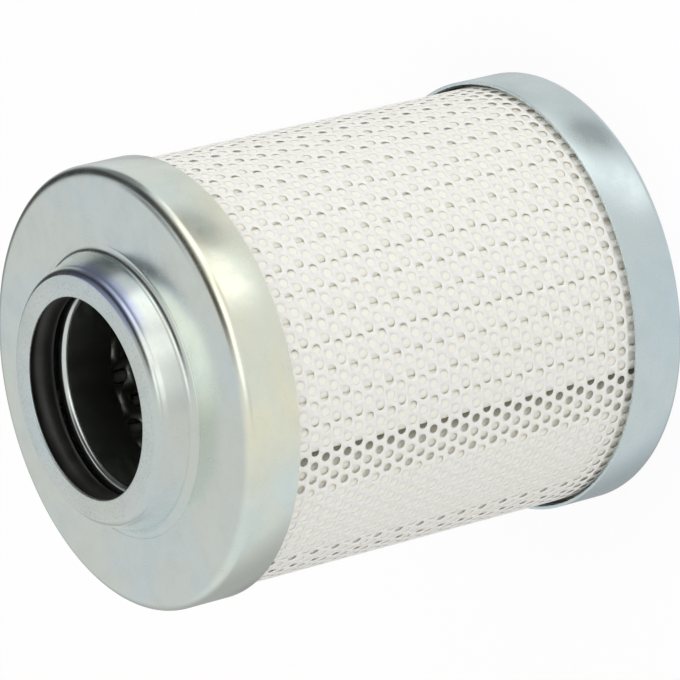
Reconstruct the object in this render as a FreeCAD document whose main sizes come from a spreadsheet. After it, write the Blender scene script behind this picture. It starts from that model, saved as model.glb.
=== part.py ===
import FreeCAD, Part
import math
import os
import re
import Sketcher

# Hydraulic filter element: a pleated pack between two pressed steel caps, on a perforated core,
# inside a perforated wrap. It stands on its closed cap: origin at the middle of the foot, +Z along
# the filter's axis, towards the neck that the housing's spigot enters. Millimetres.

doc = FreeCAD.newDocument("hydraulic_filter")
sizes = doc.addObject("Spreadsheet::Sheet", "sizes")

DRIVING = {
    # caps: pressed sheet, outer faces
    "cap_radius": 34.0,
    "cap_sheet": 0.5,
    "cap_to_cap": 81.0,
    "open_skirt": 9.7,
    "closed_skirt": 9.2,
    "open_bend": 1.7,
    "closed_bend": 0.7,
    # neck: the raised collar that holds the seal, wider at its foot; each bend is measured on its
    # inner side
    "neck_flare": 1.65,
    "neck_bend": 0.9,
    "neck_root": 0.7,
    "lip_radius": 15.4,
    # flanged sleeve that backs the seal and guides the spigot
    "guide_radius": 15.3,
    "guide_depth": 8.7,
    "guide_sheet": 0.5,
    "guide_bend": 0.6,
    "guide_flange": 24.0,
    # seal, and its room inside the neck
    "seal_section": 4.5,
    "seal_gap": 0.02,
    "seal_side_room": 0.55,
    "seal_wall_room": 0.312,
    # perforated core
    "tube_gap": 0.1,
    "tube_wall": 0.6,
    "tube_seat": 0.8,
    "tube_hole": 3.0,
    "tube_hole_columns": 12,
    "tube_hole_rows": 6,
    # adhesive beds in the caps
    "bed_depth": 3.5,
    # wrap
    "wrap_gap": 0.6,
    "wrap_wall": 0.3,
    "wrap_lap": 9.0,
    "wrap_hole": 1.45,
    "wrap_hole_columns": 12,
    "wrap_hole_rows": 10,
    "wrap_hole_margin": 2.6,
    "wrap_lap_azimuth": 75.0,
    # folded webs, and the room left beside a fold
    "outer_mesh_web": 0.16,
    "outer_fleece_web": 0.12,
    "media_web": 0.32,
    "inner_fleece_web": 0.12,
    "inner_mesh_web": 0.16,
    "fold_gap": 0.15,
    "fold_crown": 1.24,
    "pack_gap": 0.1,
    "wrap_room": 0.2,
    # the outer screen's free end, over the pleats beside the seam
    "flap_reach": 11.4,
    "flap_sink": 0.02,
    # side seam of the pack
    "seam_width": 3.4,
    "seam_azimuth": -124.4,
    "strip_room": 1.0,
    "strip_depth": 0.6,
    "strip_gap": 0.02,
}
for row, (word, number) in enumerate(DRIVING.items(), start=1):
    sizes.set(f"A{row}", word)
    sizes.set(f"B{row}", str(number))
    sizes.setAlias(f"B{row}", word)
doc.recompute()


def sized(expression):
    """The number that an expression of the sheet's words comes to."""
    return float(sizes.evalExpression(expression))


def linked(expression):
    """The same expression as another object of the document has to write it."""
    return re.sub("[a-z_]+", lambda word: f"sizes.{word[0]}" if word[0] in DRIVING else word[0], expression)


# Sizes that follow from the driving ones
SKIRT_INNER = "cap_radius - cap_sheet"
GUIDE_OUTER = "guide_radius + guide_sheet"
GUIDE_END = "cap_to_cap - cap_sheet - guide_depth"
TUBE_INNER = "guide_radius + guide_sheet + tube_gap"
TUBE_OUTER = "guide_radius + guide_sheet + tube_gap + tube_wall"
TUBE_LOW = "cap_sheet + tube_seat"
TUBE_HIGH = "cap_to_cap - cap_sheet - guide_sheet - tube_seat"
PACK_LOW = "cap_sheet + bed_depth"
PACK_HIGH = "cap_to_cap - cap_sheet - bed_depth"
WRAP_OUTER = "cap_radius - cap_sheet - wrap_gap"
WRAP_INNER = "cap_radius - cap_sheet - wrap_gap - wrap_wall"
SEAL_CENTRE = "(lip_radius - seal_gap + seal_section / 2)"
NECK_RISE = "(seal_section + 2 * seal_side_room)"
NECK_LEAN = f"(neck_flare / {NECK_RISE})"
NECK_SLANT = f"sqrt(1 + {NECK_LEAN}^2)"
NECK_MIDDLE = f"({SEAL_CENTRE} + (seal_section / 2 + seal_wall_room + cap_sheet) * {NECK_SLANT})"
NECK_TOP = f"{NECK_MIDDLE} - {NECK_LEAN} * ({NECK_RISE} / 2 + cap_sheet)"
NECK_FOOT = f"{NECK_TOP} + neck_flare"
NECK_SHEET = f"cap_sheet * ({NECK_SLANT} - {NECK_LEAN})"
SEAL_HEIGHT = f"cap_to_cap - cap_sheet + {NECK_RISE} / 2"
HALF_STACK = "(outer_mesh_web + outer_fleece_web + media_web + inner_fleece_web + inner_mesh_web) / 2"
FOLD_INNER = f"{TUBE_OUTER} + pack_gap + {HALF_STACK}"
FOLD_ROOT = f"2 * {HALF_STACK} + fold_gap"
FOLD_CROWN = f"2 * {HALF_STACK} + fold_crown"
FOLD_REACH = f"{WRAP_INNER} - wrap_room"
SEAM_TAB = f"(seam_width - ({FOLD_ROOT}) - fold_gap) / 2"
TAB_END = f"({SEAM_TAB} + ({FOLD_ROOT}) / 2)"
STRIP_LOW = f"sqrt(({FOLD_INNER} + {HALF_STACK})^2 + {TAB_END}^2) + strip_gap"


def new_body(node):
    body = doc.addObject("PartDesign::Body", node)
    body.Label = node
    return body


def origin_plane(body, role):
    return next(x for x in body.Origin.OriginFeatures if x.Role == role)


def new_sketch(body, name, role):
    sketch = body.newObject("Sketcher::SketchObject", name)
    sketch.AttachmentSupport = [(origin_plane(body, role), "")]
    sketch.MapMode = "FlatFace"
    return sketch


def place_point(sketch, element, end, across, along):
    """Hold one point of the sketch at two expressions of the sheet, "0" being on the axis itself."""
    for expression, kind, axis in ((across, "DistanceX", -2), (along, "DistanceY", -1)):
        if expression == "0":
            sketch.addConstraint(Sketcher.Constraint("PointOnObject", element, end, axis))
            continue
        held = sketch.addConstraint(
            Sketcher.Constraint(kind, -1, 1, element, end, sized(expression))
        )
        sketch.setExpression(f"Constraints[{held}]", linked(expression))


def closed_outline(body, name, points):
    """A closed sketch of straight runs in the half plane through the axis: radius, then height."""
    sketch = new_sketch(body, name, "XZ_Plane")
    corners = [FreeCAD.Vector(sized(r), sized(z), 0) for r, z in points]
    count = len(corners)
    for i in range(count):
        sketch.addGeometry(Part.LineSegment(corners[i], corners[(i + 1) % count]))
    for i in range(count):
        sketch.addConstraint(Sketcher.Constraint("Coincident", i, 2, (i + 1) % count, 1))
    for i, (r, z) in enumerate(points):
        place_point(sketch, i, 1, r, z)
    return sketch


def turned(body, name, points, angle="360"):
    """The outline turned about the filter's axis."""
    sketch = closed_outline(body, f"{name}_outline", points)
    turn = body.newObject("PartDesign::Revolution", name)
    turn.Profile = sketch
    turn.ReferenceAxis = (sketch, ["V_Axis"])
    turn.setExpression("Angle", linked(angle))
    doc.recompute()
    return turn


def round_edges(body, name, radius, places):
    """Round the circular edges that lie at the given radii and heights."""
    base = body.Tip
    wanted = [(sized(r), sized(z)) for r, z in places]
    found = []
    for number, edge in enumerate(base.Shape.Edges, start=1):
        if not isinstance(edge.Curve, Part.Circle):
            continue
        here = (edge.Curve.Radius, edge.Curve.Center.z)
        if any(math.dist(here, place) < 1e-4 for place in wanted):
            found.append(f"Edge{number}")
    rounding = body.newObject("PartDesign::Fillet", name)
    rounding.Base = (base, found)
    rounding.setExpression("Radius", linked(radius))
    doc.recompute()
    return rounding


def radial_holes(body, name, heights, radius, reach, count, half_step):
    """Round holes from the axis outwards at the given heights, repeated round the axis."""
    sketch = new_sketch(body, f"{name}_centres", "XZ_Plane")
    turn = FreeCAD.Rotation(FreeCAD.Vector(0, 1, 0), half_step * 180 / sized(count))
    sketch.AttachmentOffset = FreeCAD.Placement(FreeCAD.Vector(), turn)
    if half_step:
        sketch.setExpression("AttachmentOffset.Rotation.Angle", f"{half_step * 180} / {linked(count)}")
    for i, height in enumerate(heights):
        centre = FreeCAD.Vector(0, sized(height), 0)
        sketch.addGeometry(Part.Circle(centre, FreeCAD.Vector(0, 0, 1), sized(radius)))
        place_point(sketch, i, 3, "0", height)
        held = sketch.addConstraint(Sketcher.Constraint("Radius", i, sized(radius)))
        sketch.setExpression(f"Constraints[{held}]", linked(radius))
    doc.recompute()
    before = body.Tip.Shape.Volume
    drill = body.newObject("PartDesign::Pocket", name)
    drill.Profile = sketch
    drill.setExpression("Length", linked(reach))
    doc.recompute()
    if drill.Shape.Volume > before - 1e-6:
        drill.Reversed = True
        doc.recompute()
    around = body.newObject("PartDesign::PolarPattern", f"{name}_around")
    around.Originals = [drill]
    around.Axis = (sketch, ["V_Axis"])
    around.Angle = 360
    around.setExpression("Occurrences", linked(count))
    body.Tip = around
    doc.recompute()


def staggered_holes(body, name, low, high, rows, columns, radius, reach):
    """Rows of holes evenly up the wall from low to high, every second row half a step round."""
    total = round(sized(rows))
    for offset in (0, 1):
        heights = [f"{low} + ({high} - ({low})) * {i} / ({rows} - 1)" for i in range(offset, total, 2)]
        radial_holes(body, f"{name}_{offset + 1}", heights, radius, reach, columns, offset)


def stand_at(piece, azimuth, height="0"):
    """Turn a finished piece about the filter's axis and lift it to its height."""
    turn = FreeCAD.Rotation(FreeCAD.Vector(0, 0, 1), sized(azimuth))
    piece.Placement = FreeCAD.Placement(FreeCAD.Vector(0, 0, sized(height)), turn)


def closed_end_cap():
    """A flat pressed dish with a straight skirt; the filter stands on it."""
    body = new_body("closed_end_cap")
    points = [
        ("0", "0"),
        ("cap_radius", "0"),
        ("cap_radius", "closed_skirt"),
        (SKIRT_INNER, "closed_skirt"),
        (SKIRT_INNER, "cap_sheet"),
        ("0", "cap_sheet"),
    ]
    turned(body, "closed_dish", points)
    round_edges(body, "closed_inside_bend", "closed_bend", [(SKIRT_INNER, "cap_sheet")])
    round_edges(body, "closed_outside_bend", "closed_bend + cap_sheet", [("cap_radius", "0")])


def open_end_cap():
    """The same sheet drawn up into a neck, whose lip turns in over the seal."""
    body = new_body("open_end_cap")
    top = "cap_to_cap"
    lip = f"{top} + {NECK_RISE}"
    inside_lip = (f"{NECK_TOP} - {NECK_SHEET}", f"{lip} - cap_sheet")
    inside_foot = (f"{NECK_FOOT} - {NECK_SHEET}", f"{top} - cap_sheet")
    points = [
        ("cap_radius", f"{top} - open_skirt"),
        ("cap_radius", top),
        (NECK_FOOT, top),
        (NECK_TOP, lip),
        ("lip_radius", lip),
        ("lip_radius", f"{lip} - cap_sheet"),
        inside_lip,
        inside_foot,
        (SKIRT_INNER, f"{top} - cap_sheet"),
        (SKIRT_INNER, f"{top} - open_skirt"),
    ]
    turned(body, "open_dish", points)
    round_edges(body, "open_inside_bend", "open_bend", [(SKIRT_INNER, f"{top} - cap_sheet")])
    round_edges(body, "open_outside_bend", "open_bend + cap_sheet", [("cap_radius", top)])
    round_edges(body, "neck_root_bend", "neck_root", [(NECK_FOOT, top)])
    round_edges(body, "neck_mouth_bend", "neck_root + cap_sheet", [inside_foot])
    round_edges(body, "neck_inside_bend", "neck_bend", [inside_lip])
    round_edges(body, "neck_outside_bend", "neck_bend + cap_sheet", [(NECK_TOP, lip)])


def spigot_guide():
    """A flanged sleeve: its flange lies under the open cap and backs the seal."""
    body = new_body("spigot_guide")
    top = "cap_to_cap - cap_sheet"
    points = [
        ("guide_radius", GUIDE_END),
        (GUIDE_OUTER, GUIDE_END),
        (GUIDE_OUTER, f"{top} - guide_sheet"),
        ("guide_flange", f"{top} - guide_sheet"),
        ("guide_flange", top),
        ("guide_radius", top),
    ]
    turned(body, "guide_profile", points)
    round_edges(body, "guide_inside_bend", "guide_bend", [(GUIDE_OUTER, f"{top} - guide_sheet")])
    round_edges(body, "guide_outside_bend", "guide_bend + guide_sheet", [("guide_radius", top)])


def seal_ring():
    """The O-ring, at the size it takes up between the neck's wall and the spigot."""
    body = new_body("seal_ring")
    sketch = new_sketch(body, "seal_section_outline", "XZ_Plane")
    centre = FreeCAD.Vector(sized(SEAL_CENTRE), sized(SEAL_HEIGHT), 0)
    sketch.addGeometry(Part.Circle(centre, FreeCAD.Vector(0, 0, 1), sized("seal_section / 2")))
    place_point(sketch, 0, 3, SEAL_CENTRE, SEAL_HEIGHT)
    held = sketch.addConstraint(Sketcher.Constraint("Radius", 0, sized("seal_section / 2")))
    sketch.setExpression(f"Constraints[{held}]", linked("seal_section / 2"))
    ring = body.newObject("PartDesign::Revolution", "seal_turn")
    ring.Profile = sketch
    ring.ReferenceAxis = (sketch, ["V_Axis"])
    ring.Angle = 360


def core_tube():
    """Perforated steel tube that keeps the pack from collapsing."""
    body = new_body("core_tube")
    points = [
        (TUBE_INNER, TUBE_LOW),
        (TUBE_OUTER, TUBE_LOW),
        (TUBE_OUTER, TUBE_HIGH),
        (TUBE_INNER, TUBE_HIGH),
    ]
    turned(body, "tube_wall_turn", points)
    low = f"{PACK_LOW} + 2 * tube_hole"
    high = f"{GUIDE_END} - tube_hole"
    staggered_holes(
        body, "tube_holes", low, high, "tube_hole_rows", "tube_hole_columns", "tube_hole / 2", "cap_radius"
    )


def adhesive_beds():
    """Cured adhesive in each cap: the pack and wrap stand on it, and the core is sunk into it."""
    low, high = "cap_sheet", "cap_to_cap - cap_sheet"
    closed = new_body("closed_end_bed")
    points = [
        ("0", low),
        (SKIRT_INNER, low),
        (SKIRT_INNER, PACK_LOW),
        (TUBE_OUTER, PACK_LOW),
        (TUBE_OUTER, TUBE_LOW),
        (TUBE_INNER, TUBE_LOW),
        (TUBE_INNER, PACK_LOW),
        ("0", PACK_LOW),
    ]
    turned(closed, "closed_bed_turn", points)
    round_edges(closed, "closed_bed_edge", "closed_bend", [(SKIRT_INNER, low)])

    opened = new_body("open_end_bed")
    points = [
        (GUIDE_OUTER, TUBE_HIGH),
        (TUBE_OUTER, TUBE_HIGH),
        (TUBE_OUTER, PACK_HIGH),
        (SKIRT_INNER, PACK_HIGH),
        (SKIRT_INNER, high),
        ("guide_flange", high),
        ("guide_flange", f"{high} - guide_sheet"),
        (GUIDE_OUTER, f"{high} - guide_sheet"),
    ]
    turned(opened, "open_bed_turn", points)
    round_edges(opened, "open_bed_edge", "open_bend", [(SKIRT_INNER, high)])
    round_edges(opened, "open_bed_mouth", "guide_bend", [(GUIDE_OUTER, f"{high} - guide_sheet")])


def outer_wrap():
    """Perforated plastic sheet rolled round the pack, its ends lapped and welded."""
    body = new_body("outer_wrap")
    wall = [
        (WRAP_INNER, PACK_LOW),
        (WRAP_OUTER, PACK_LOW),
        (WRAP_OUTER, PACK_HIGH),
        (WRAP_INNER, PACK_HIGH),
    ]
    turned(body, "wrap_wall_turn", wall)
    lap = [
        (WRAP_OUTER, PACK_LOW),
        (f"{WRAP_OUTER} + wrap_wall", PACK_LOW),
        (f"{WRAP_OUTER} + wrap_wall", PACK_HIGH),
        (WRAP_OUTER, PACK_HIGH),
    ]
    turned(body, "wrap_lap_turn", lap, f"wrap_lap / ({WRAP_OUTER}) * 180 / pi")
    low = "closed_skirt + wrap_hole_margin"
    high = "cap_to_cap - open_skirt - wrap_hole_margin"
    staggered_holes(
        body, "wrap_holes", low, high, "wrap_hole_rows", "wrap_hole_columns", "wrap_hole / 2", "2 * cap_radius"
    )
    stand_at(body, "wrap_lap_azimuth")


def toward(angle, distance):
    """The point or step that lies so far off at the angle, in plan."""
    return FreeCAD.Vector(distance * math.cos(angle), distance * math.sin(angle), 0)


def fold_bends():
    """The bends of the pack's middle line, anticlockwise from the seam: centre, radius, turn.

    A bend at the core turns right (-1), one at the wrap turns left (+1).
    """
    half, inner = sized(HALF_STACK), sized(FOLD_INNER)
    root, crown = sized(FOLD_ROOT) / 2, sized(FOLD_CROWN) / 2
    outer = sized(FOLD_REACH) - half - crown
    seam = sized("seam_width") / inner
    pleats = int((2 * math.pi - seam) * inner / (2 * (2 * half + sized("fold_gap"))))
    step = (2 * math.pi - seam) / pleats / 2
    bends = []
    for i in range(2 * pleats + 1):
        angle = seam / 2 + i * step
        if i % 2:
            bends.append((toward(angle, outer), crown, 1))
        else:
            bends.append((toward(angle, inner + root), root, -1))
    return bends


def fold_headings(bends):
    """The way the middle line heads between its bends, the two tabs at the seam included."""
    half_seam = sized("seam_width") / sized(FOLD_INNER) / 2
    headings = [half_seam + math.pi / 2]
    for (here, radius, turn), (there, next_radius, _) in zip(bends, bends[1:]):
        step = there - here
        lean = math.asin((radius + next_radius) / step.Length)
        headings.append(math.atan2(step.y, step.x) + turn * lean)
    return headings + [math.pi / 2 - half_seam]


def fold_face(bends, headings, offset):
    """One face of the folded stack in plan, so far outwards of the middle line, as edges in order."""
    tab = sized(TAB_END)
    left = [toward(heading + math.pi / 2, 1) for heading in headings]
    edges = []
    for i, (centre, radius, turn) in enumerate(bends):
        reach = turn * radius + offset
        sweep = turn * (headings[i + 1] - headings[i]) % (2 * math.pi)
        middle = toward(headings[i] + turn * sweep / 2 + math.pi / 2, 1)
        arc = [centre - side * reach for side in (left[i], middle, left[i + 1])]
        before = edges[-1].lastVertex().Point if edges else arc[0] - toward(headings[0], tab)
        edges.append(Part.makeLine(before, arc[0]))
        edges.append(Part.Arc(*arc).toShape())
    edges.append(Part.makeLine(arc[2], arc[2] + toward(headings[-1], tab)))
    return edges


def screen_flap(bends):
    """The outer screen's free end in plan, from the last crown back over the pleats before it."""
    low = sized(f"{FOLD_REACH} - flap_sink")
    high = low + sized("outer_mesh_web")
    crown = bends[-2][0]
    end = math.atan2(crown.y, crown.x)
    angles = [end, end - sized("flap_reach") / low / 2, end - sized("flap_reach") / low]
    under, over = ([toward(angle, reach) for angle in angles] for reach in (low, high))
    sides = [Part.makeLine(under[i], over[i]) for i in (0, -1)]
    arcs = [Part.Arc(*points).toShape() for points in (under, over)]
    return Part.Face(Part.Wire(Part.__sortEdges__(arcs + sides)))


def pleated_webs():
    """Five webs folded together, from the outside in; each fills the next part of the stack."""
    webs = {
        "outer_support_mesh": "outer_mesh_web",
        "outer_fleece": "outer_fleece_web",
        "filter_media": "media_web",
        "inner_fleece": "inner_fleece_web",
        "inner_support_mesh": "inner_mesh_web",
    }
    bends = fold_bends()
    headings = fold_headings(bends)
    face = sized(HALF_STACK)
    for node, thickness in webs.items():
        back = face - sized(thickness)
        front_edges, back_edges = (fold_face(bends, headings, x) for x in (face, back))
        ends = [
            Part.makeLine(front_edges[i].Vertexes[i].Point, back_edges[i].Vertexes[i].Point) for i in (0, -1)
        ]
        plan = doc.addObject("Part::Feature", f"{node}_plan")
        plan.Shape = Part.Face(Part.Wire(front_edges + ends[1:] + back_edges[::-1] + ends[:1]))
        if node == "outer_support_mesh":
            plan.Shape = plan.Shape.fuse(screen_flap(bends)).removeSplitter().Faces[0]
        web = doc.addObject("Part::Extrusion", node)
        web.Label = node
        web.Base = plan
        web.DirMode = "Custom"
        web.Dir = FreeCAD.Vector(0, 0, 1)
        web.Solid = True
        web.setExpression("LengthFwd", linked(f"{PACK_HIGH} - ({PACK_LOW})"))
        stand_at(web, "seam_azimuth", PACK_LOW)
        face = back


def side_seam_strip():
    """Adhesive strip along the bottom of the seam's valley, over the butted tabs."""
    body = new_body("side_seam_strip")
    points = [
        (STRIP_LOW, PACK_LOW),
        (f"{STRIP_LOW} + strip_depth", PACK_LOW),
        (f"{STRIP_LOW} + strip_depth", PACK_HIGH),
        (STRIP_LOW, PACK_HIGH),
    ]
    strip = turned(body, "strip_turn", points, f"(seam_width - strip_room) / ({STRIP_LOW}) * 180 / pi")
    strip.Midplane = True
    stand_at(body, "seam_azimuth")


closed_end_cap()
open_end_cap()
spigot_guide()
seal_ring()
core_tube()
adhesive_beds()
outer_wrap()
pleated_webs()
side_seam_strip()
doc.recompute()

failed = [x.Name for x in doc.Objects if {"Invalid", "Error"} & set(x.State)]
if failed:
    raise RuntimeError(f"not built: {failed}")

nodes = [x for x in doc.Objects if x.TypeId in ("PartDesign::Body", "Part::Extrusion")]
for node in nodes:
    if node.Shape.isNull() or not node.Shape.isValid() or not node.Shape.Solids:
        raise RuntimeError(f"no sound solid: {node.Label}")

os.makedirs("parts", exist_ok=True)
for node in nodes:
    node.Shape.exportStep(f"parts/{node.Label}.step")
    print(node.Label, len(node.Shape.Solids), round(node.Shape.Volume, 1))
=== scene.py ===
import math

import bmesh
import bpy
from mathutils import Matrix, Vector


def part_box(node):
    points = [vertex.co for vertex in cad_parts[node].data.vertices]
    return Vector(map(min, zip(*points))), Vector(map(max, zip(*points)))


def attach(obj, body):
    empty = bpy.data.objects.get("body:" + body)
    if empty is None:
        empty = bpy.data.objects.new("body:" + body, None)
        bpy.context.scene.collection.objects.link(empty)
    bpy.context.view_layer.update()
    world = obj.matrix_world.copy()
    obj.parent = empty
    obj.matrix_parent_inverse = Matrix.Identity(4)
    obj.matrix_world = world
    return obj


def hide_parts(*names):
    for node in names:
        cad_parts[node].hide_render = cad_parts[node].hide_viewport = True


# Hydraulic filter element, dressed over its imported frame. The filter stands on its closed cap, with
# +Z along its axis, and the photographed side faces -Y. Lengths are in metres, angles in degrees.

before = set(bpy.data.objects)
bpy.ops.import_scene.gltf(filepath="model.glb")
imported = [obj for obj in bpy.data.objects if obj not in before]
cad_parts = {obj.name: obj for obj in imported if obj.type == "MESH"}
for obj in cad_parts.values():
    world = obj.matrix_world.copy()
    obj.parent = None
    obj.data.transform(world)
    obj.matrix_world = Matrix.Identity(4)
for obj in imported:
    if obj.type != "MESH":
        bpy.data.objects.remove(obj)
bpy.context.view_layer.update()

MM = 0.001

# Measures taken from the frame
CAP_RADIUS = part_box("open_end_cap")[1].x
NECK_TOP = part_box("open_end_cap")[1].z
OPEN_SKIRT_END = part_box("open_end_cap")[0].z
CLOSED_SKIRT_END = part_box("closed_end_cap")[1].z
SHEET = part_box("closed_end_bed")[0].z
CAP_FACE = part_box("open_end_bed")[1].z + SHEET
BED_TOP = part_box("closed_end_bed")[1].z
PACK_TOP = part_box("filter_media")[1].z
WRAP_RADIUS = -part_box("outer_wrap")[0].x
CORE_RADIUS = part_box("core_tube")[1].x
CORE_LOW, CORE_HIGH = (corner.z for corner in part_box("core_tube"))
GUIDE_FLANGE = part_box("spigot_guide")[1].x
GUIDE_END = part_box("spigot_guide")[0].z
SEAL_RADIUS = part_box("seal_ring")[1].x
SEAL_LOW, SEAL_HIGH = (corner.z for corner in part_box("seal_ring"))

# Caps, neck and sleeve. A pair is a corner's radius and height.
LIP_RADIUS = 15.4 * MM
NECK_RIM = 18.72 * MM
NECK_BROW = (19.5 * MM, 85.98 * MM)
NECK_SHOULDER = (19.72 * MM, 85.35 * MM)
NECK_WALL_TOP = (19.98 * MM, 84.9 * MM)
NECK_WALL_END = (21.0 * MM, 82.1 * MM)
NECK_FOOT = 21.19 * MM
DIE_RADIUS = 22.5 * MM
DIE_STEP = 0.07 * MM
GUIDE_RADIUS = 15.3 * MM
GUIDE_SHEET = 0.5 * MM

# Their bends and edges
OPEN_BEND = 2.2 * MM
CLOSED_BEND = 1.2 * MM
NECK_ROOT = 1.0 * MM
INNER_ROOT = NECK_ROOT + 0.3 * MM
SLIGHT_BEND = 0.1 * MM
WALL_TOP_BEND = 0.26 * MM
INNER_WALL_TOP_BEND = 0.2 * MM
NECK_BEND = 0.38 * MM
RIM_BEND = 0.15 * MM
LIP_EDGE = 0.28 * MM
CUT_EDGE = 0.12 * MM
GUIDE_BEND = 1.1 * MM

# Perforated walls. An azimuth is that of one hole of an even row.
WRAP_SHEET = 0.09 * MM
WRAP_LIFT = 0.3 * MM
WRAP_ROW_STEP = 1.958 * MM
WRAP_FIRST_ROW = 69.75 * MM
WRAP_ROWS = 33
WRAP_AROUND = 88
WRAP_AZIMUTH = -120.47
WRAP_HOLE = 1.45 * MM
WRAP_HOLE_SIDES = 12
WRAP_SEAM_AZIMUTH = 75.0
WRAP_LAP = 15.6
WRAP_RAMP = 5.0
CORE_SHEET = 0.6 * MM
CORE_ROW_STEP = 5.0 * MM
CORE_FIRST_ROW = 70.3 * MM
CORE_AROUND = 24
CORE_AZIMUTH = 81.8
CORE_HOLE = 3.0 * MM
CORE_HOLE_SIDES = 20

# Pleats of the outer screen
PLEATS = 50
SEAM_AZIMUTH = -124.4
SEAM_OPEN = 11.4
PACK_PLAY = 0.02 * MM
PACK_RADIUS = WRAP_RADIUS - WRAP_SHEET - PACK_PLAY
ROOT_RADIUS = 17.5 * MM
CROWN_HALF = 1.994 * MM
CROWN_BEND = 1.5 * MM
CROWN_DROP = 0.5 * MM
CROWN_TURN_STEP = 15
# Heights of the screen's rows of faces, as shares of its length
SCREEN_LEVELS = (0.02, 0.05, 0.09, 0.14, 0.2, 0.3, 0.5, 0.7, 0.86, 0.93, 0.97, 1.0)
# The screen's free end: the angle from the seam's middle and the depth under the wrap
FLAP_RUN = [
    (-29.5, 0.02 * MM),
    (-8.2, 0.02 * MM),
    (-6.0, 0.35 * MM),
    (-4.3, 0.7 * MM),
    (-2.4, 0.3 * MM),
    (0.2, 0.3 * MM),
    (2.4, 1.2 * MM),
    (4.2, 2.6 * MM),
    (6.4, 4.2 * MM),
]
FLAP_STEP = 1.3
# How far the closed cap holds the pack in, and over what height that ends
PULL_IN = 0.3 * MM
PULL_REACH = 3.0 * MM

TURN_STEPS = 288
SEAL_STEPS = 192
SEAL_SECTION_SIDES = 40
WELD = 1e-6
# Angles past which an edge is shaded sharp
SHARP = 40.0
SCREEN_SHARP = 80.0

# Where finishes, painted reflections and painted shade begin and end, by radius or height
SKIRT_REACH = (CAP_RADIUS - 1.2 * MM, CAP_RADIUS - 0.3 * MM)
RAISED = (CAP_FACE + 1.5 * MM, CAP_FACE + 3.5 * MM)
LIP_REACH = (NECK_RIM + 0.05 * MM, NECK_RIM - 0.3 * MM)
# The neck's brow, where a painted reflection turns it darker and violet on one side
BROW_RISE = (NECK_WALL_TOP[1] - 1.4 * MM, NECK_WALL_TOP[1])
BROW_REACH = (NECK_RIM - 0.3 * MM, NECK_RIM + 0.1 * MM)
# Painted shade on the screen: darker from just under its crowns down into the pleats, nearly black near
# their roots
PAINTED_SHADE_DEEP_REACH = (PACK_RADIUS - 0.1 * MM, PACK_RADIUS - 2.2 * MM)
PAINTED_SHADE_ROOT_REACH = (ROOT_RADIUS + 3.0 * MM, ROOT_RADIUS)

# Plating: the sides on which painted reflections turn the skirt brighter and straw and the neck's brow
# darker and violet, its tints, and its drawing marks
WARM_REFLECTION_SIDE = (0.17, -0.985, 0)
VIOLET_REFLECTION_SIDE = (0.79, -0.62, 0)
STRAW_TINT = (1.0, 0.94, 0.74, 1)
BLUE_TINT = (0.84, 0.95, 1.0, 1)
VIOLET_TINT = (0.7, 0.72, 1.0, 1)
CLOUD_TINT = (0.8, 0.83, 0.83, 1)
PIT_COLOR = (0.3, 0.32, 0.31, 1)
VIOLET_HAZE = 0.05
MARKS_AROUND = 230.0
MARKS_UP = 160.0

# Distances over which the fine bumps of the finishes rise
FINE_RELIEF = 0.02 * MM
WEAVE_RELIEF = 0.06 * MM
NAP_RELIEF = 0.05 * MM
CAST_RELIEF = 0.1 * MM
WEAVE_PITCH = 0.42 * MM

# Camera, fitted to the photograph
MIDDLE = Vector((0, 0, CAP_FACE / 2))
CAMERA_TILT = 56.937
CAMERA_ROLL = -103.857
CAMERA_DISTANCE = 25.561 * CAP_RADIUS
CAMERA_ASIDE = (-0.0129 * CAP_RADIUS, 0.0148 * CAP_RADIUS)
CAMERA_FOCUS_PIXELS = 5688.13
PICTURE_PIXELS = 680
SENSOR = 36.0

# Studio: the lamp for the pale parts, and the sky that lights them, brighter on one side
KEY_UPWARD, KEY_BACK = 0.75, 0.6
KEY_DISTANCE = 0.9
KEY_SIZE = 0.7
KEY_POWER = 0.94
BRIGHT_SIDE = (0.75, -0.62, 0.2)
SKY_LEVEL, SKY_SWING = 0.88, 0.22
FLOOR_REACH = 3.0
FLOOR_GLOW = 0.92
WHITE = (1, 1, 1, 1)
# What metal reflects: the light's colour, and its level from one side to the other
STUDIO_LIGHT = (0.985, 1.0, 0.995, 1)
STUDIO_SIDES = (-0.35, 0.25)
STUDIO_LEVELS = (0.79, 0.785)
# Lights and gaps by azimuth, elevation, full and zero angle, brightness
STUDIO_PATCHES = [
    (-90, 25, 8, 19, 1.4),
    (-64, 15, 8, 20, 1.4),
    (-32, -2, 11, 22, 1.5),
    (-8, -17, 4, 12, 1.3),
    (-110, 0, 3, 14, 0.66),
    (24, -4, 9, 20, 0.2),
    (40, 49, 5, 15, 0.25),
    (-46, -33, 7, 18, 1.32),
    (-16, -31, 5, 16, 0.36),
    (114, -33, 5, 50, 0.44),
]
# What metal seen in metal reflects, as the face shows beside the neck
INNER_PATCHES = [
    (-45, 66, 12, 42, 1.7),
    (48, 46, 12, 26, 0.12),
    (20, 5, 16, 34, 0.12),
]
# Glossy depths between which a reflection turns from the first to the second
SECOND_BOUNCE = (1.2, 1.8)
# The dark gap between the two big lights is a ring round this direction, deep on one side only
RING_AXIS = (0, 0.447, 0.895)
RING_FROM, RING_DARK_FROM, RING_DARK_TO, RING_TO = -0.08, 0.38, 0.64, 0.8
RING_SIDES = (-0.12, 0.33)
RING_DEPTH = 0.97
RING_LEVEL = 0.02


# Mesh helpers


def everything(work):
    return work.verts[:] + work.edges[:] + work.faces[:]


def only_verts(geometry):
    return [part for part in geometry if isinstance(part, bmesh.types.BMVert)]


def welded(work):
    bmesh.ops.remove_doubles(work, verts=work.verts[:], dist=WELD)


def chain(work, places, closed):
    """Join places in a row, and the last to the first if closed; gives the vertices and the edges."""
    verts = [work.verts.new(place) for place in places]
    ends = verts[1:] + verts[:1] if closed else verts[1:]
    return verts, [work.edges.new(pair) for pair in zip(verts, ends)]


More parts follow.
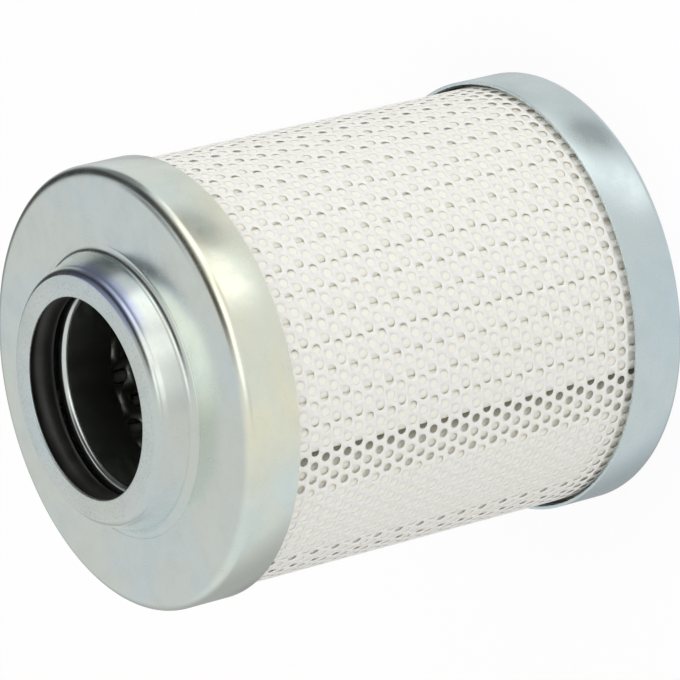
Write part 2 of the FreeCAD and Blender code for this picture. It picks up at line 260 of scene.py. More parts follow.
def spun(work, steps):
    """Turn the outline once round the filter's axis."""
    bmesh.ops.spin(
        work,
        geom=work.verts[:] + work.edges[:],
        cent=(0, 0, 0),
        axis=(0, 0, 1),
        angle=2 * math.pi,
        steps=steps,
        use_merge=True,
        use_duplicate=False,
    )


def turned_mesh(corners, closed=True):
    """Turn an outline. A corner is (radius, height, bend radius, bend steps)."""
    work = bmesh.new()
    verts, _ = chain(work, [(radius, 0, height) for radius, height, _, _ in corners], closed)
    for vert, (_, _, bend, bend_steps) in zip(verts, corners):
        if bend:
            bmesh.ops.bevel(
                work,
                geom=[vert],
                offset=bend,
                offset_type="OFFSET",
                segments=bend_steps,
                profile=0.5,
                affect="VERTICES",
                clamp_overlap=False,
                material=-1,
            )
    spun(work, TURN_STEPS)
    return work


def copied(work, geometry, move):
    """Copy the geometry and move the copy."""
    copy = bmesh.ops.duplicate(work, geom=geometry)["geom"]
    bmesh.ops.translate(work, vec=move, verts=only_verts(copy))


def repeated(work, times, move):
    """Have what the work holds so many times in all, each a move further, and weld the copies."""
    first = everything(work)
    for i in range(1, times):
        copied(work, first, Vector(move) * i)
    welded(work)


def perforated_cell(work, radius, angle, height, hole, sides):
    """One cell round its hole, flat, of a sheet to be rolled to the radius: x is an angle in radians."""
    rim = bmesh.ops.create_circle(work, cap_ends=False, radius=hole / 2, segments=sides)["verts"]
    x, y = angle * radius / 2, height / 2
    corners = [(-x, -y), (0, -y), (x, -y), (x, 0), (x, y), (0, y), (-x, y), (-x, 0)]
    _, outer_edges = chain(work, [(px, py, 0) for px, py in corners], closed=True)
    rim_edges = list({edge for vert in rim for edge in vert.link_edges})
    bmesh.ops.bridge_loops(work, edges=rim_edges + outer_edges)
    bmesh.ops.scale(work, vec=(1 / radius, 1, 1), verts=work.verts[:])


def trimmed(work, point, outward):
    """Cut away what lies outwards of a flat cut."""
    bmesh.ops.bisect_plane(
        work,
        geom=everything(work),
        plane_co=point,
        plane_no=outward,
        clear_outer=True,
    )


def rolled(work, radius_at, start_azimuth):
    """Roll a flat sheet, whose x is an angle in radians, round the filter's axis."""
    for vert in work.verts:
        angle = vert.co.x + math.radians(start_azimuth)
        radius = radius_at(vert.co.x)
        vert.co = (radius * math.cos(angle), radius * math.sin(angle), vert.co.y)


def smooth_step(x):
    """From 0 to 1 with level ends, and flat outside them."""
    x = min(max(x, 0.0), 1.0)
    return x * x * (3 - 2 * x)


def finished_piece(work, name, node, slot, material, sharp=SHARP):
    """Make the worked mesh a piece of the object that stands for a node of the frame."""
    welded(work)
    bmesh.ops.recalc_face_normals(work, faces=work.faces[:])
    mesh = bpy.data.meshes.new(name)
    work.to_mesh(mesh)
    work.free()
    mesh.shade_smooth()
    mesh.set_sharp_from_angle(angle=math.radians(sharp))
    mesh.materials.append(material)
    piece = bpy.data.objects.new(name, mesh)
    bpy.context.scene.collection.objects.link(piece)
    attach(piece, "root")
    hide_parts(node)
    return piece


def thickened(piece, thickness):
    """Give a sheet its thickness, half to each side."""
    wall = piece.modifiers.new("thickness", "SOLIDIFY")
    wall.thickness = thickness
    wall.offset = 0


def dress(node, material):
    """Give a node of the frame its finish."""
    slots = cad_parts[node].data.materials
    slots.clear()
    slots.append(material)


# Node helpers


class Recipe:
    """A node tree with short ways to add and join nodes. A value is a constant or a socket to link."""

    def __init__(self, tree):
        self.tree = tree

    def feed(self, node, values):
        """Give inputs of a node, by name or number, their values."""
        for name, value in values.items():
            if isinstance(value, bpy.types.NodeSocket):
                self.tree.links.new(value, node.inputs[name])
            else:
                node.inputs[name].default_value = value

    def add(self, kind, values=None, **settings):
        node = self.tree.nodes.new(kind)
        for name, value in settings.items():
            setattr(node, name, value)
        self.feed(node, values or {})
        return node

    def math(self, operation, *values):
        return self.add("ShaderNodeMath", dict(enumerate(values)), operation=operation).outputs[0]

    def times(self, a, b):
        return self.math("MULTIPLY", a, b)

    def vector(self, operation, values):
        return self.add("ShaderNodeVectorMath", values, operation=operation).outputs[0]

    def facing(self, direction, target):
        """How far a direction agrees with another: 1 along it, -1 against it."""
        values = {0: direction, 1: target}
        return self.add("ShaderNodeVectorMath", values, operation="DOT_PRODUCT").outputs["Value"]

    def mix(self, factor, a, b, blend="MIX"):
        values = {0: factor, 6: a, 7: b}
        return self.add("ShaderNodeMix", values, data_type="RGBA", blend_type=blend).outputs[2]

    def band(self, value, low, high, out_low=0.0, out_high=1.0):
        """A soft step between the two outputs, while the value goes from low to high."""
        values = {"Value": value, "From Min": low, "From Max": high, "To Min": out_low, "To Max": out_high}
        return self.add("ShaderNodeMapRange", values, interpolation_type="SMOOTHSTEP").outputs[0]

    def noise(self, vector, scale, detail=4.0, roughness=0.55):
        values = {"Vector": vector, "Scale": scale, "Detail": detail, "Roughness": roughness}
        return self.add("ShaderNodeTexNoise", values).outputs["Fac"]

    def stretched(self, vector, scale):
        return self.add("ShaderNodeMapping", {"Vector": vector, "Scale": scale}).outputs[0]

    def object_place(self):
        return self.add("ShaderNodeTexCoord").outputs["Object"]

    def bump(self, height, strength, distance):
        values = {"Height": height, "Strength": strength, "Distance": distance}
        return self.add("ShaderNodeBump", values).outputs[0]

    def effect(self, group, **values):
        """Place a node group; an underscore in a value's name stands for a space."""
        named = {name.replace("_", " "): value for name, value in values.items()}
        return self.add("ShaderNodeGroup", named, node_tree=group).outputs

    def background(self, color, strength):
        values = {"Color": color, "Strength": strength}
        return self.add("ShaderNodeBackground", values).outputs[0]

    def blended(self, share, first, second):
        """One shader where the share is 0, the other where it is 1."""
        return self.add("ShaderNodeMixShader", {0: share, 1: first, 2: second}).outputs[0]


def new_effect(name, inputs, outputs):
    """An empty node group with its sockets; gives it, its recipe, its inputs and its end node."""
    group = bpy.data.node_groups.new(name, "ShaderNodeTree")
    for socket, kind, value in inputs:
        made = group.interface.new_socket(socket, in_out="INPUT", socket_type=kind)
        made.default_value = value
    for socket, kind in outputs:
        group.interface.new_socket(socket, in_out="OUTPUT", socket_type=kind)
    recipe = Recipe(group)
    return group, recipe, recipe.add("NodeGroupInput").outputs, recipe.add("NodeGroupOutput")


def new_material(name):
    """A material; gives it, its recipe and its Principled BSDF."""
    material = bpy.data.materials.new(name)
    material.use_nodes = True
    return material, Recipe(material.node_tree), material.node_tree.nodes["Principled BSDF"]


# Effects that materials share


def grain_effect():
    """Uneven grain: a soft large-scale patch and a fine tooth, both from 0 to 1."""
    inputs = [
        ("Vector", "NodeSocketVector", (0, 0, 0)),
        ("Patch Scale", "NodeSocketFloat", 60.0),
        ("Tooth Scale", "NodeSocketFloat", 2500.0),
    ]
    outputs = [("Patch", "NodeSocketFloat"), ("Tooth", "NodeSocketFloat")]
    group, recipe, given, end = new_effect("grain", inputs, outputs)
    patch = recipe.noise(given["Vector"], given["Patch Scale"], 3.0)
    tooth = recipe.noise(given["Vector"], given["Tooth Scale"], 2.0)
    recipe.feed(end, {"Patch": recipe.band(patch, 0.3, 0.7), "Tooth": tooth})
    return group


def azimuth_effect():
    """Where a point lies: its angle round the filter's axis, its radius, its height, its way outwards."""
    inputs = [("Vector", "NodeSocketVector", (0, 0, 0))]
    outputs = [
        ("Azimuth", "NodeSocketFloat"),
        ("Radius", "NodeSocketFloat"),
        ("Height", "NodeSocketFloat"),
        ("Outwards", "NodeSocketVector"),
    ]
    group, recipe, given, end = new_effect("round_the_axis", inputs, outputs)
    x, y, z = recipe.add("ShaderNodeSeparateXYZ", {"Vector": given["Vector"]}).outputs
    flat = recipe.add("ShaderNodeCombineXYZ", {"X": x, "Y": y}).outputs[0]
    squares = recipe.math("ADD", recipe.times(x, x), recipe.times(y, y))
    values = {
        "Azimuth": recipe.math("ARCTAN2", y, x),
        "Radius": recipe.math("SQRT", squares),
        "Height": z,
        "Outwards": recipe.vector("NORMALIZE", {0: flat}),
    }
    recipe.feed(end, values)
    return group


def plating_effect():
    """Zinc plating: a pale colour that drifts to straw, blue or violet, its clouds and its fine flecks."""
    inputs = [
        ("Vector", "NodeSocketVector", (0, 0, 0)),
        ("Base", "NodeSocketColor", (0.69, 0.765, 0.74, 1)),
        ("Straw", "NodeSocketFloat", 0.3),
        ("Blue", "NodeSocketFloat", 0.3),
        ("Violet", "NodeSocketFloat", 0.3),
    ]
    outputs = [("Color", "NodeSocketColor"), ("Cloud", "NodeSocketFloat"), ("Fleck", "NodeSocketFloat")]
    group, recipe, given, end = new_effect("zinc_plating", inputs, outputs)
    vector = given["Vector"]
    drift = recipe.noise(recipe.stretched(vector, (1.0, 1.0, 2.2)), 38.0, 3.0)
    veil = recipe.noise(recipe.stretched(vector, (1.0, 1.0, 1.6)), 83.0, 3.0)
    cloud = recipe.noise(vector, 210.0, 5.0, 0.6)
    fleck = recipe.noise(vector, 2600.0, 3.0, 0.65)
    straw = recipe.times(recipe.band(drift, 0.38, 0.62), given["Straw"])
    blue = recipe.times(recipe.band(drift, 0.56, 0.34), given["Blue"])
    violet = recipe.times(recipe.band(veil, 0.36, 0.56), given["Violet"])
    clouded = recipe.band(cloud, 0.4, 0.7, 0.0, 0.2)
    color = given["Base"]
    tints = ((straw, STRAW_TINT), (blue, BLUE_TINT), (violet, VIOLET_TINT), (clouded, CLOUD_TINT))
    for share, tint in tints:
        color = recipe.mix(share, color, tint, "MULTIPLY")
    recipe.feed(end, {"Color": color, "Cloud": cloud, "Fleck": fleck})
    return group


GRAIN = grain_effect()
AROUND = azimuth_effect()
PLATING = plating_effect()


# Materials


def plated_steel(name, base, skirt_cool, skirt_warm_reflection, straw, blue, violet, roughness):
    """Pressed sheet with a thin zinc plating: satin, faintly coloured, drawing marks along its skirts, and
    painted reflections that make the skirt brighter and straw on one side and the neck's brow darker and
    violet on one side.
    """
    material, recipe, shader = new_material(name)
    place = recipe.object_place()
    where = recipe.effect(AROUND, Vector=place)
    radius, height, outwards = where["Radius"], where["Height"], where["Outwards"]

    skirt = recipe.band(radius, *SKIRT_REACH)
    # Painted reflection: the skirt is brighter and straw on one side, cooler and darker away from it
    warm_reflection = recipe.band(recipe.facing(outwards, WARM_REFLECTION_SIDE), 0.66, 0.93)
    # Painted reflection: the neck's brow darker and violet on one side; the haze added to it is the
    # plating's own faint violet everywhere
    brow_reflection = recipe.times(recipe.band(height, *BROW_RISE), recipe.band(radius, *BROW_REACH))
    brow_reflection = recipe.times(brow_reflection, recipe.band(recipe.facing(outwards, VIOLET_REFLECTION_SIDE), 0.8, 0.97))
    lip = recipe.times(recipe.band(height, *RAISED), recipe.band(radius, *LIP_REACH))

    plating = recipe.effect(
        PLATING,
        Vector=place,
        Base=recipe.mix(skirt, base, recipe.mix(warm_reflection, skirt_cool, skirt_warm_reflection)),
        Straw=straw,
        Blue=blue,
        Violet=recipe.math("MULTIPLY_ADD", brow_reflection, violet, VIOLET_HAZE),
    )
    fleck = plating["Fleck"]
    pitted = recipe.times(recipe.band(fleck, 0.5, 0.68), recipe.math("MULTIPLY_ADD", lip, 0.3, 0.04))

    around = recipe.vector("SCALE", {0: outwards, "Scale": MARKS_AROUND})
    up = recipe.add("ShaderNodeCombineXYZ", {"Z": recipe.times(height, MARKS_UP)}).outputs[0]
    marks = recipe.times(recipe.noise(recipe.vector("ADD", {0: around, 1: up}), 1.0, 3.0, 0.7), skirt)
    scored = recipe.band(recipe.noise(place, 90.0, 2.0), 0.45, 0.65)
    marks = recipe.times(marks, recipe.math("MULTIPLY_ADD", scored, 2.6, 0.3))
    tooth = recipe.times(fleck, recipe.math("MULTIPLY_ADD", lip, 3.2, 0.5))

    rough = recipe.band(plating["Cloud"], 0.3, 0.7, roughness - 0.03, roughness + 0.06)
    rough = recipe.math("ADD", rough, recipe.times(fleck, 0.05))
    surface = {
        "Base Color": recipe.mix(pitted, plating["Color"], PIT_COLOR),
        "Metallic": 1.0,
        "Roughness": recipe.math("MULTIPLY_ADD", lip, 0.12, rough),
        "Normal": recipe.bump(recipe.math("MULTIPLY_ADD", marks, 0.7, tooth), 0.14, FINE_RELIEF),
    }
    recipe.feed(shader, surface)
    return material


def grained_material(name, scales, colors, roughness, bump, constants=None):
    """A material with the grain's patches in its colour and the grain's tooth in its skin."""
    material, recipe, shader = new_material(name)
    patch_scale, tooth_scale = scales
    place = recipe.object_place()
    grain = recipe.effect(GRAIN, Vector=place, Patch_Scale=patch_scale, Tooth_Scale=tooth_scale)
    surface = {
        "Base Color": recipe.mix(grain["Patch"], *colors),
        "Roughness": recipe.band(grain["Tooth"], 0.3, 0.7, *roughness),
        "Normal": recipe.bump(grain["Tooth"], bump, FINE_RELIEF),
    }
    recipe.feed(shader, surface | (constants or {}))
    return material


def wrap_plastic():
    """Thin white plastic sheet, satin, with a slightly uneven skin."""
    return grained_material(
        "wrap_plastic",
        scales=(90.0, 2600.0),
        colors=((0.97, 0.94, 0.85, 1), (0.985, 0.96, 0.88, 1)),
        roughness=(0.42, 0.52),
        bump=0.1,
        constants={
            "Specular IOR Level": 0.25,
            "Subsurface Weight": 0.8,
            "Subsurface Radius": (1.0, 1.0, 1.0),
            "Subsurface Scale": 0.16 * MM,
        },
    )


def seal_rubber():
    """Dull black rubber with a faint bloom."""
    return grained_material(
        "seal_rubber",
        scales=(300.0, 6000.0),
        colors=((0.012, 0.012, 0.011, 1), (0.022, 0.022, 0.02, 1)),
        roughness=(0.38, 0.5),
        bump=0.15,
    )


def oiled_steel():
    """Dark steel sheet, unevenly oiled."""
    return grained_material(
        "core_steel",
        scales=(160.0, 3000.0),
        colors=((0.22, 0.225, 0.21, 1), (0.32, 0.33, 0.3, 1)),
        roughness=(0.3, 0.45),
        bump=0.15,
        constants={"Metallic": 1.0},
    )


def woven_screen():
    """Fine plain-woven screen, pale on its crowns, its wires crossing round and along the pleats; painted
    shade darkens it deeper in the pleats and turns it nearly black at their roots.
    """
    material, recipe, shader = new_material("support_mesh")
    place = recipe.object_place()
    grain = recipe.effect(GRAIN, Vector=place, Patch_Scale=120.0, Tooth_Scale=2000.0)
    where = recipe.effect(AROUND, Vector=place)
    waves = 2 * math.pi / WEAVE_PITCH
    along = recipe.math("SINE", recipe.times(where["Height"], waves))
    across = recipe.math("SINE", recipe.times(recipe.times(where["Azimuth"], WRAP_RADIUS), waves))
    weave = recipe.times(along, across)
    color = recipe.mix(recipe.band(weave, -1.0, 1.0), (0.92, 0.895, 0.81, 1), (0.955, 0.935, 0.855, 1))
    color = recipe.mix(recipe.times(grain["Patch"], 0.4), color, (0.925, 0.9, 0.815, 1))
    # Painted shade: darker deeper in the pleats, nearly black at their roots
    color = recipe.mix(recipe.band(where["Radius"], *PAINTED_SHADE_DEEP_REACH), color, (0.6, 0.57, 0.48, 1))
    color = recipe.mix(recipe.band(where["Radius"], *PAINTED_SHADE_ROOT_REACH), color, (0.1, 0.1, 0.085, 1))
    bump = recipe.bump(weave, 0.35, WEAVE_RELIEF)
    recipe.feed(shader, {"Base Color": color, "Roughness": 0.6, "Normal": bump})
    return material


def fibre_web(name, pale, dark):
    """Matted fibre: soft, with a short random nap."""
    material, recipe, shader = new_material(name)
    place = recipe.object_place()
    grain = recipe.effect(GRAIN, Vector=place, Patch_Scale=400.0, Tooth_Scale=4000.0)
    color = recipe.mix(grain["Patch"], pale, dark)
    bump = recipe.bump(grain["Tooth"], 0.4, NAP_RELIEF)
    recipe.feed(shader, {"Base Color": color, "Roughness": 0.9, "Normal": bump})
    return material


def cured_adhesive():
    """Cast resin, glossy and slightly yellow."""
    material, recipe, shader = new_material("adhesive")
    place = recipe.object_place()
    grain = recipe.effect(GRAIN, Vector=place, Patch_Scale=150.0, Tooth_Scale=1500.0)
    color = recipe.mix(grain["Patch"], (0.5, 0.45, 0.34, 1), (0.4, 0.36, 0.27, 1))
    bump = recipe.bump(grain["Patch"], 0.3, CAST_RELIEF)
    recipe.feed(shader, {"Base Color": color, "Roughness": 0.3, "Normal": bump})
    return material


# Pieces


def closed_cap(material):
    """Plain pressed cap with a short skirt."""
    corners = [
        (0, 0, 0, 0),
        (CAP_RADIUS, 0, CLOSED_BEND, 8),
        (CAP_RADIUS, CLOSED_SKIRT_END, CUT_EDGE, 2),
        (CAP_RADIUS - SHEET, CLOSED_SKIRT_END, CUT_EDGE, 2),
        (CAP_RADIUS - SHEET, SHEET, CLOSED_BEND - SHEET, 6),
        (0, SHEET, 0, 0),
    ]
    work = turned_mesh(corners, closed=False)
    return finished_piece(work, "closed_cap", "closed_end_cap", "plated_steel", material)


def open_cap(material):
    """Pressed cap, drawn up into the neck; its outline runs up the outside and back down the inside."""
    corners = [
        (CAP_RADIUS, OPEN_SKIRT_END, CUT_EDGE, 2),
        (CAP_RADIUS, CAP_FACE, OPEN_BEND, 12),
        (DIE_RADIUS, CAP_FACE, DIE_STEP, 2),
        (DIE_RADIUS, CAP_FACE - DIE_STEP, DIE_STEP / 2, 2),
        (NECK_FOOT, CAP_FACE - DIE_STEP, NECK_ROOT, 10),
        (*NECK_WALL_END, SLIGHT_BEND, 2),
        (*NECK_WALL_TOP, WALL_TOP_BEND, 6),
        (*NECK_SHOULDER, SLIGHT_BEND, 3),
        (*NECK_BROW, NECK_BEND, 10),
        (NECK_RIM, NECK_TOP, RIM_BEND, 4),
        (LIP_RADIUS, NECK_TOP, LIP_EDGE, 5),
        (LIP_RADIUS, NECK_TOP - SHEET, CUT_EDGE, 2),
        (NECK_BROW[0] - SHEET, NECK_TOP - SHEET, NECK_BEND, 8),
        (NECK_WALL_TOP[0] - SHEET, NECK_WALL_TOP[1], INNER_WALL_TOP_BEND, 4),
        (NECK_WALL_END[0] - SHEET, NECK_WALL_END[1], SLIGHT_BEND, 2),
        (NECK_FOOT - SHEET, CAP_FACE - SHEET, INNER_ROOT, 8),
        (CAP_RADIUS - SHEET, CAP_FACE - SHEET, OPEN_BEND - SHEET, 8),
        (CAP_RADIUS - SHEET, OPEN_SKIRT_END, CUT_EDGE, 2),
    ]
    work = turned_mesh(corners)
    return finished_piece(work, "open_cap", "open_end_cap", "plated_steel", material)


def guide_sleeve(material):
    """Sleeve under the neck, with a bright rounded mouth and a flange against the cap."""
    top = CAP_FACE - SHEET
    corners = [
        (GUIDE_RADIUS, GUIDE_END, CUT_EDGE, 2),
        (GUIDE_RADIUS + GUIDE_SHEET, GUIDE_END, CUT_EDGE, 2),
        (GUIDE_RADIUS + GUIDE_SHEET, top - GUIDE_SHEET, GUIDE_BEND - GUIDE_SHEET, 6),
        (GUIDE_FLANGE, top - GUIDE_SHEET, CUT_EDGE, 2),
        (GUIDE_FLANGE, top, CUT_EDGE, 2),
        (GUIDE_RADIUS, top, GUIDE_BEND, 10),
    ]
    work = turned_mesh(corners)
    return finished_piece(work, "guide_sleeve", "spigot_guide", "guide_steel", material)


def o_ring(material):
    """Seal of round section, held in the neck."""
    work = bmesh.new()
    section_radius = (SEAL_HIGH - SEAL_LOW) / 2
    middle = (SEAL_RADIUS - section_radius, 0, SEAL_LOW + section_radius)
    upright = Matrix.Rotation(math.pi / 2, 4, "X")
    bmesh.ops.create_circle(
        work,
        cap_ends=False,
        radius=section_radius,
        segments=SEAL_SECTION_SIDES,
        matrix=Matrix.Translation(middle) @ upright,
    )
    spun(work, SEAL_STEPS)
    return finished_piece(work, "o_ring", "seal_ring", "seal_rubber", material)


def wrap_sheet(material):
    """The perforated sheet, cut flat, then rolled once round and lapped over its own start."""
    work = bmesh.new()
    step = 2 * math.pi / WRAP_AROUND
    length = 2 * math.pi + math.radians(WRAP_LAP)
    perforated_cell(work, WRAP_RADIUS, step, WRAP_ROW_STEP, WRAP_HOLE, WRAP_HOLE_SIDES)
    repeated(work, math.ceil(length / step) + 2, (step, 0, 0))
    first = everything(work)
    for row in range(1, WRAP_ROWS):
        copied(work, first, (step / 2 * (row % 2), -row * WRAP_ROW_STEP, 0))
    bmesh.ops.translate(work, vec=(0, WRAP_FIRST_ROW, 0), verts=work.verts[:])
    welded(work)

    # The cut that brings the holes to their azimuth when the sheet starts at the seam
    start = step - math.radians(WRAP_AZIMUTH - WRAP_SEAM_AZIMUTH) % step
    trimmed(work, (start, 0, 0), (-1, 0, 0))
    trimmed(work, (start + length, 0, 0), (1, 0, 0))

    # Plain borders run on from the outer rows to the adhesive beds
    for outermost, border in ((min, BED_TOP), (max, PACK_TOP)):
        height = outermost(vert.co.y for vert in work.verts)
        edges = [
            edge
            for edge in work.edges
            if edge.is_boundary and all(abs(vert.co.y - height) < WELD for vert in edge.verts)
        ]
        grown = bmesh.ops.extrude_edge_only(work, edges=edges)["geom"]
        for vert in only_verts(grown):
            vert.co.y = border
    bmesh.ops.translate(work, vec=(-start, 0, 0), verts=work.verts[:])

    def radius_at(angle):
        over = smooth_step((angle - 2 * math.pi) / math.radians(WRAP_RAMP) + 1)
        return WRAP_RADIUS - WRAP_SHEET / 2 + WRAP_LIFT * over

    rolled(work, radius_at, WRAP_SEAM_AZIMUTH)
    piece = finished_piece(work, "wrap", "outer_wrap", "wrap_plastic", material)
    thickened(piece, WRAP_SHEET)
    return piece


def core(material):
    """Perforated core tube with its full pattern of holes, in rows that are offset by half a step."""
    work = bmesh.new()
    step = 2 * math.pi / CORE_AROUND
    perforated_cell(work, CORE_RADIUS, step, CORE_ROW_STEP, CORE_HOLE, CORE_HOLE_SIDES)
    rows = math.ceil((CORE_HIGH - CORE_LOW) / CORE_ROW_STEP) + 2
    repeated(work, rows, (0, -CORE_ROW_STEP, 0))
    copied(work, everything(work), (step, -CORE_ROW_STEP / 2, 0))
    welded(work)
    repeated(work, CORE_AROUND // 2, (2 * step, 0, 0))
    lift = (0, CORE_FIRST_ROW + 2 * CORE_ROW_STEP, 0)
    bmesh.ops.translate(work, vec=lift, verts=work.verts[:])
    trimmed(work, (0, CORE_LOW, 0), (0, -1, 0))
    trimmed(work, (0, CORE_HIGH, 0), (0, 1, 0))
    rolled(work, lambda angle: CORE_RADIUS - CORE_SHEET / 2, CORE_AZIMUTH)
    piece = finished_piece(work, "core", "core_tube", "core_steel", material)
    thickened(piece, CORE_SHEET)
    return piece


def pleat_line():
    """The screen's folded line by radius and angle: crowns rounded off under the wrap, tight roots."""
    seam = math.radians(SEAM_OPEN)
    step = (2 * math.pi - seam) / PLEATS
    line = []
    for i in range(PLEATS):
        middle = seam / 2 + (i + 0.5) * step
        line.append((ROOT_RADIUS, middle - step / 2))
        for side in (-1, 1):
            for turn in range(0, 91, CROWN_TURN_STEP)[::side]:
                angle = math.radians(turn)
                across = side * (CROWN_HALF - CROWN_BEND + CROWN_BEND * math.sin(angle))
                radius = PACK_RADIUS - CROWN_DROP * (1 - math.cos(angle))
                line.append((radius, middle + across / PACK_RADIUS))
    line.append((ROOT_RADIUS, 2 * math.pi - seam / 2))
    return line


def flap_line():
    """The line of the screen's free end, which lies under the wrap across the seam."""
    line = []
    for (start, sunk), (end, sunk_end) in zip(FLAP_RUN, FLAP_RUN[1:]):
        parts = math.ceil((end - start) / FLAP_STEP)
        for i in range(parts):
            depth = sunk + (sunk_end - sunk) * smooth_step(i / parts)
            angle = math.radians(start + (end - start) * i / parts)
            line.append((WRAP_RADIUS - WRAP_SHEET - depth, angle))
    return line


def held_in(work):
    """Draw the crowns inwards where the closed cap's skirt holds them."""
    for vert in work.verts:
        pull = PULL_IN * (1 - smooth_step((vert.co.z - CLOSED_SKIRT_END) / PULL_REACH))
        radius = math.hypot(vert.co.x, vert.co.y)
        share = (radius - ROOT_RADIUS) / (PACK_RADIUS - ROOT_RADIUS)
        factor = (radius - pull * max(share, 0)) / radius
        vert.co.x *= factor
        vert.co.y *= factor


def screen_pleats(material):
    """Outer screen: its lines are drawn up from bed to bed, then the whole is turned to its seam."""
    work = bmesh.new()
    edges = []
    for line, closed in ((pleat_line(), True), (flap_line(), False)):
        places = [(radius * math.cos(a), radius * math.sin(a), BED_TOP) for radius, a in line]
        edges += chain(work, places, closed)[1]
    last = BED_TOP
    for level in SCREEN_LEVELS:
        height = BED_TOP + level * (PACK_TOP - BED_TOP)
        grown = bmesh.ops.extrude_edge_only(work, edges=edges)["geom"]
        verts = only_verts(grown)
        upper = set(verts)
        edges = [
            part
            for part in grown
            if isinstance(part, bmesh.types.BMEdge) and upper.issuperset(part.verts)
        ]
        bmesh.ops.translate(work, vec=(0, 0, height - last), verts=verts)
        last = height
    held_in(work)
    turn = Matrix.Rotation(math.radians(SEAM_AZIMUTH), 3, "Z")
    bmesh.ops.rotate(work, cent=(0, 0, 0), matrix=turn, verts=work.verts[:])
    names = ("screen_pleats", "outer_support_mesh", "support_mesh")
    return finished_piece(work, *names, material, sharp=SCREEN_SHARP)


# Studio


def camera_axes():
    """The picture's directions in the object's frame: across it, up it, and back to the camera."""
    tilt, roll = math.radians(CAMERA_TILT), math.radians(CAMERA_ROLL)
    back = Vector((0, -math.sin(tilt), math.cos(tilt)))
    right = Vector((1, 0, 0))
    up = back.cross(right)
    across = math.cos(roll) * right + math.sin(roll) * up
    upward = -math.sin(roll) * right + math.cos(roll) * up
    return across, upward, back


def place_camera():
    across, upward, back = camera_axes()
    eye = MIDDLE + back * CAMERA_DISTANCE - across * CAMERA_ASIDE[0] - upward * CAMERA_ASIDE[1]
    data = bpy.data.cameras.new("photo_camera")
    data.sensor_width = SENSOR
    data.lens = CAMERA_FOCUS_PIXELS / PICTURE_PIXELS * SENSOR
    data.clip_start = 0.01
    data.clip_end = 20
    camera = bpy.data.objects.new("photo_camera", data)
    axes = Matrix((across, upward, back)).transposed().to_4x4()
    camera.matrix_world = Matrix.Translation(eye) @ axes
    bpy.context.scene.collection.objects.link(camera)
    bpy.context.scene.camera = camera


def key_softbox():
    """A square lamp above the picture, for the pale parts; the metal doesn't reflect it."""
    _, upward, back = camera_axes()
    direction = (upward * KEY_UPWARD + back * KEY_BACK).normalized()
    data = bpy.data.lights.new("key_softbox", "AREA")
    data.shape = "SQUARE"
    data.size = KEY_SIZE
    data.energy = KEY_POWER
    lamp = bpy.data.objects.new("key_softbox", data)
    turn = direction.to_track_quat("Z", "Y").to_matrix().to_4x4()
    lamp.matrix_world = Matrix.Translation(MIDDLE + direction * KEY_DISTANCE) @ turn
    lamp.visible_glossy = False
    bpy.context.scene.collection.objects.link(lamp)


def sky_direction(azimuth, elevation):
    a, e = math.radians(azimuth), math.radians(elevation)
    return (math.cos(a) * math.cos(e), math.sin(a) * math.cos(e), math.sin(e))


def studio_world():
    """White where the camera sees it, a soft sky for the pale parts and a studio for the metal."""
    world = bpy.data.worlds.new("studio")
    world.use_nodes = True
    bpy.context.scene.world = world
    recipe = Recipe(world.node_tree)
    world.node_tree.nodes.clear()
    generated = recipe.add("ShaderNodeTexCoord").outputs["Generated"]
    direction = recipe.vector("NORMALIZE", {0: generated})
    sideways = recipe.add("ShaderNodeSeparateXYZ", {"Vector": direction}).outputs[0]
    paths = recipe.add("ShaderNodeLightPath").outputs

    def covered(light, share, brightness):
        kept = recipe.times(light, recipe.math("SUBTRACT", 1.0, share))
        return recipe.math("MULTIPLY_ADD", share, brightness, kept)

    def patched(light, patches):
        for azimuth, elevation, full, none, brightness in patches:
            toward = recipe.facing(direction, sky_direction(azimuth, elevation))
            share = recipe.band(toward, math.cos(math.radians(none)), math.cos(math.radians(full)))
            light = covered(light, share, brightness)
        return light

    off_ring = recipe.facing(direction, RING_AXIS)
    ring = recipe.times(
        recipe.band(off_ring, RING_FROM, RING_DARK_FROM),
        recipe.band(off_ring, RING_TO, RING_DARK_TO),
    )
    ring = recipe.times(ring, recipe.band(sideways, *RING_SIDES, 0.0, RING_DEPTH))
    light = covered(recipe.band(sideways, *STUDIO_SIDES, *STUDIO_LEVELS), ring, RING_LEVEL)
    light = patched(light, STUDIO_PATCHES)
    twice = recipe.band(paths["Glossy Depth"], *SECOND_BOUNCE)
    light = covered(light, twice, patched(1.0, INNER_PATCHES))
    soft = recipe.math("MULTIPLY_ADD", recipe.facing(direction, BRIGHT_SIDE), SKY_SWING, SKY_LEVEL)

    sharp = recipe.math("MAXIMUM", paths["Is Glossy Ray"], paths["Is Transmission Ray"])
    reflected = recipe.background(STUDIO_LIGHT, light)
    unseen = recipe.blended(sharp, recipe.background(WHITE, soft), reflected)
    shown = recipe.blended(paths["Is Camera Ray"], unseen, recipe.background(WHITE, 1.0))
    recipe.add("ShaderNodeOutputWorld", {"Surface": shown})


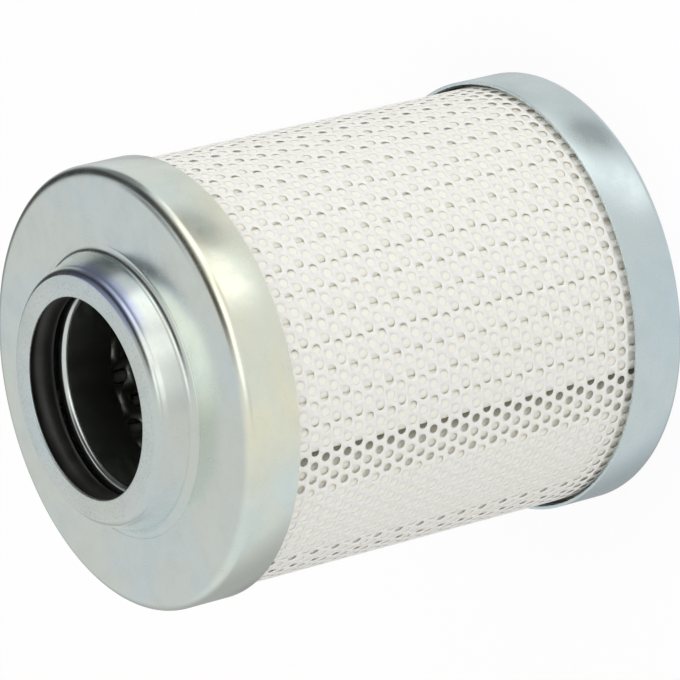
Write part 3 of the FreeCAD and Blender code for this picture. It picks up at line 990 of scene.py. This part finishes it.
def studio_floor():
    """A plain pale floor that keeps the filter's shadow and stays out of the metal's reflections."""
    work = bmesh.new()
    bmesh.ops.create_grid(work, x_segments=1, y_segments=1, size=FLOOR_REACH)
    mesh = bpy.data.meshes.new("floor")
    work.to_mesh(mesh)
    work.free()
    floor = bpy.data.objects.new("floor", mesh)
    bpy.context.scene.collection.objects.link(floor)
    material, recipe, shader = new_material("pale_floor")
    recipe.feed(shader, {"Base Color": (0.95, 0.95, 0.95, 1), "Roughness": 0.9, "Specular IOR Level": 0.0})
    paths = recipe.add("ShaderNodeLightPath").outputs
    glow = recipe.add("ShaderNodeEmission", {"Color": WHITE, "Strength": 1.0}).outputs[0]
    clear = recipe.add("ShaderNodeBsdfTransparent").outputs[0]
    seen = recipe.times(paths["Is Camera Ray"], FLOOR_GLOW)
    lit = recipe.blended(seen, shader.outputs[0], glow)
    sharp = recipe.math("MAXIMUM", paths["Is Glossy Ray"], paths["Is Transmission Ray"])
    output = material.node_tree.nodes["Material Output"]
    recipe.feed(output, {"Surface": recipe.blended(sharp, lit, clear)})
    mesh.materials.append(material)


# The object
bare = (0.74, 0.76, 0.74, 1)
guide_steel = plated_steel(
    "guide_steel",
    base=bare,
    skirt_cool=bare,
    skirt_warm_reflection=bare,
    straw=0.0,
    blue=0.1,
    violet=0.0,
    roughness=0.16,
)
bluish = (0.68, 0.765, 0.79, 1)
closed_cap_steel = plated_steel(
    "blue_plated_steel",
    base=bluish,
    skirt_cool=bluish,
    skirt_warm_reflection=bluish,
    straw=0.15,
    blue=0.3,
    violet=0.1,
    roughness=0.24,
)
# The open cap: a painted reflection makes its skirt brighter and straw on one side and its neck's brow
# darker and violet
open_cap_steel = plated_steel(
    "plated_steel",
    base=(0.68, 0.725, 0.71, 1),
    skirt_cool=(0.79, 0.855, 0.82, 1),
    skirt_warm_reflection=(0.905, 0.905, 0.77, 1),
    straw=0.3,
    blue=0.35,
    violet=0.95,
    roughness=0.2,
)
screen = woven_screen()
fleece = fibre_web("fleece", (0.86, 0.86, 0.83, 1), (0.78, 0.78, 0.75, 1))
glass_fibre = fibre_web("glass_fibre", (0.88, 0.88, 0.87, 1), (0.8, 0.8, 0.79, 1))
adhesive = cured_adhesive()

closed_cap(closed_cap_steel)
open_cap(open_cap_steel)
guide_sleeve(guide_steel)
o_ring(seal_rubber())
wrap_sheet(wrap_plastic())
core(oiled_steel())
screen_pleats(screen)
dress("outer_fleece", fleece)
dress("filter_media", glass_fibre)
dress("inner_fleece", fleece)
dress("inner_support_mesh", screen)
for node in ("closed_end_bed", "open_end_bed", "side_seam_strip"):
    dress(node, adhesive)

# The picture
place_camera()
studio_world()
studio_floor()
key_softbox()
bpy.context.scene.view_settings.view_transform = "Standard"
